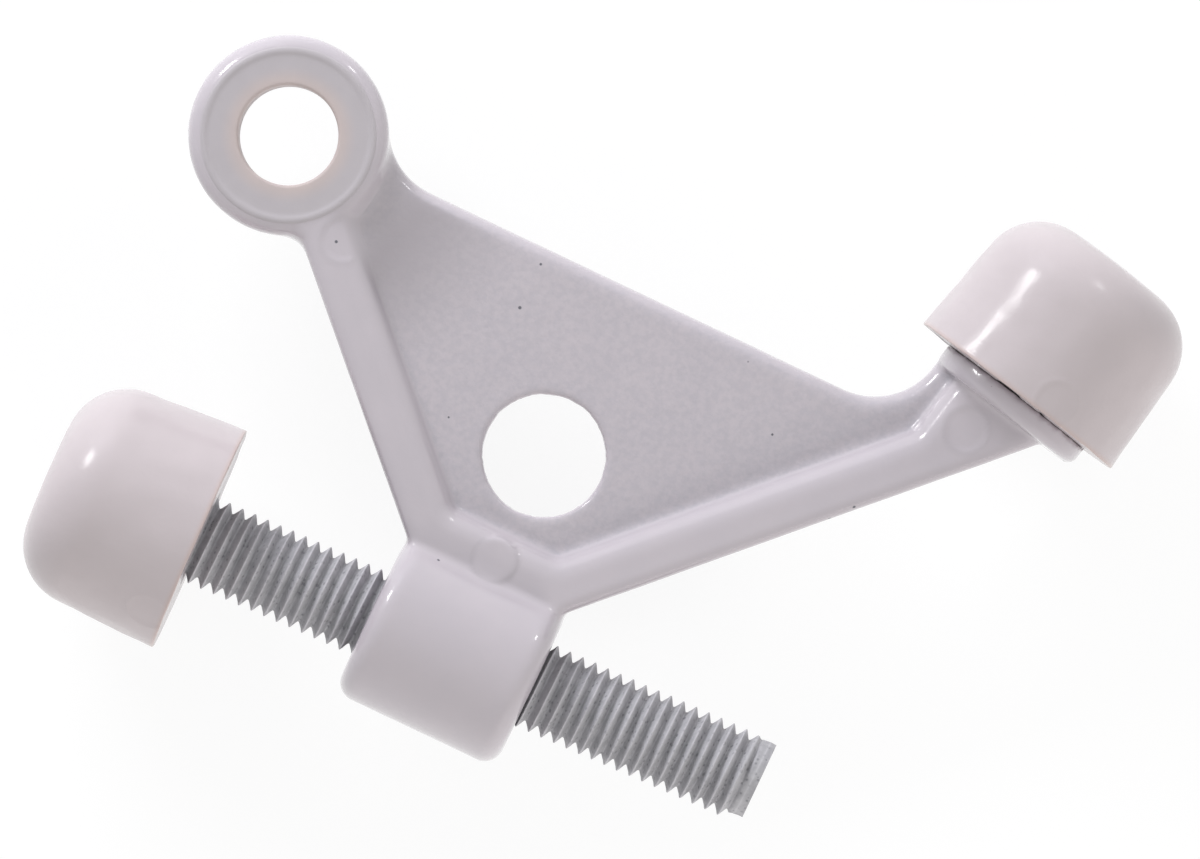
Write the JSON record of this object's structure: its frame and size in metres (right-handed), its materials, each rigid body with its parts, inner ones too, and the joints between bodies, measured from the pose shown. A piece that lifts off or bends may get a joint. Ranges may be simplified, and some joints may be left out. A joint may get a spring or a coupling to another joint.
{
  "type": "hinge pin door stop",
  "caption": "Triangular cast door stop with a hinge pin eye, a rubber bumper on a fixed arm and a second rubber bumper on an adjustable threaded rod.",
  "frame": {"origin": "centre of the hinge pin eye, half way up it", "axes": "+Z along the hinge pin, towards the bushing's flange; +X along the boss, towards the rod's free end; the casting's middle plane is Z = 0"},
  "size_m": [0.0912, 0.07, 0.0214],
  "materials": {
    "white_enamel": "glossy white enamel over a die casting",
    "bushing_plastic": "smooth pale plastic",
    "zinc_plated_steel": "dull grey zinc plating on a rolled thread",
    "white_rubber": "semi-gloss white moulded rubber"
  },
  "bodies": {
    "casting": {"body_casting": "white_enamel", "hinge_pin_bushing": "bushing_plastic", "arm_bumper": "white_rubber"},
    "bumper": {"rod_bumper": "white_rubber"},
    "rod": {"threaded_rod": "zinc_plated_steel"}
  },
  "joints": [
    {"name": "rod_travel", "type": "slide", "parent": "casting", "child": "bumper", "axis": [0.9995, 0.0314, 0], "range_m": [-0.02125, 0.01375]},
    {"name": "rod_turn", "type": "hinge", "parent": "bumper", "child": "rod", "pos_m": [0.0334, -0.0358, 0], "axis": [0.9995, 0.0314, 0], "range_deg": [-6120, 3960]}
  ],
  "couplings": [
    {"joint": "rod_turn", "follows": "rod_travel", "rad_per_m": 5026.5}
  ]
}
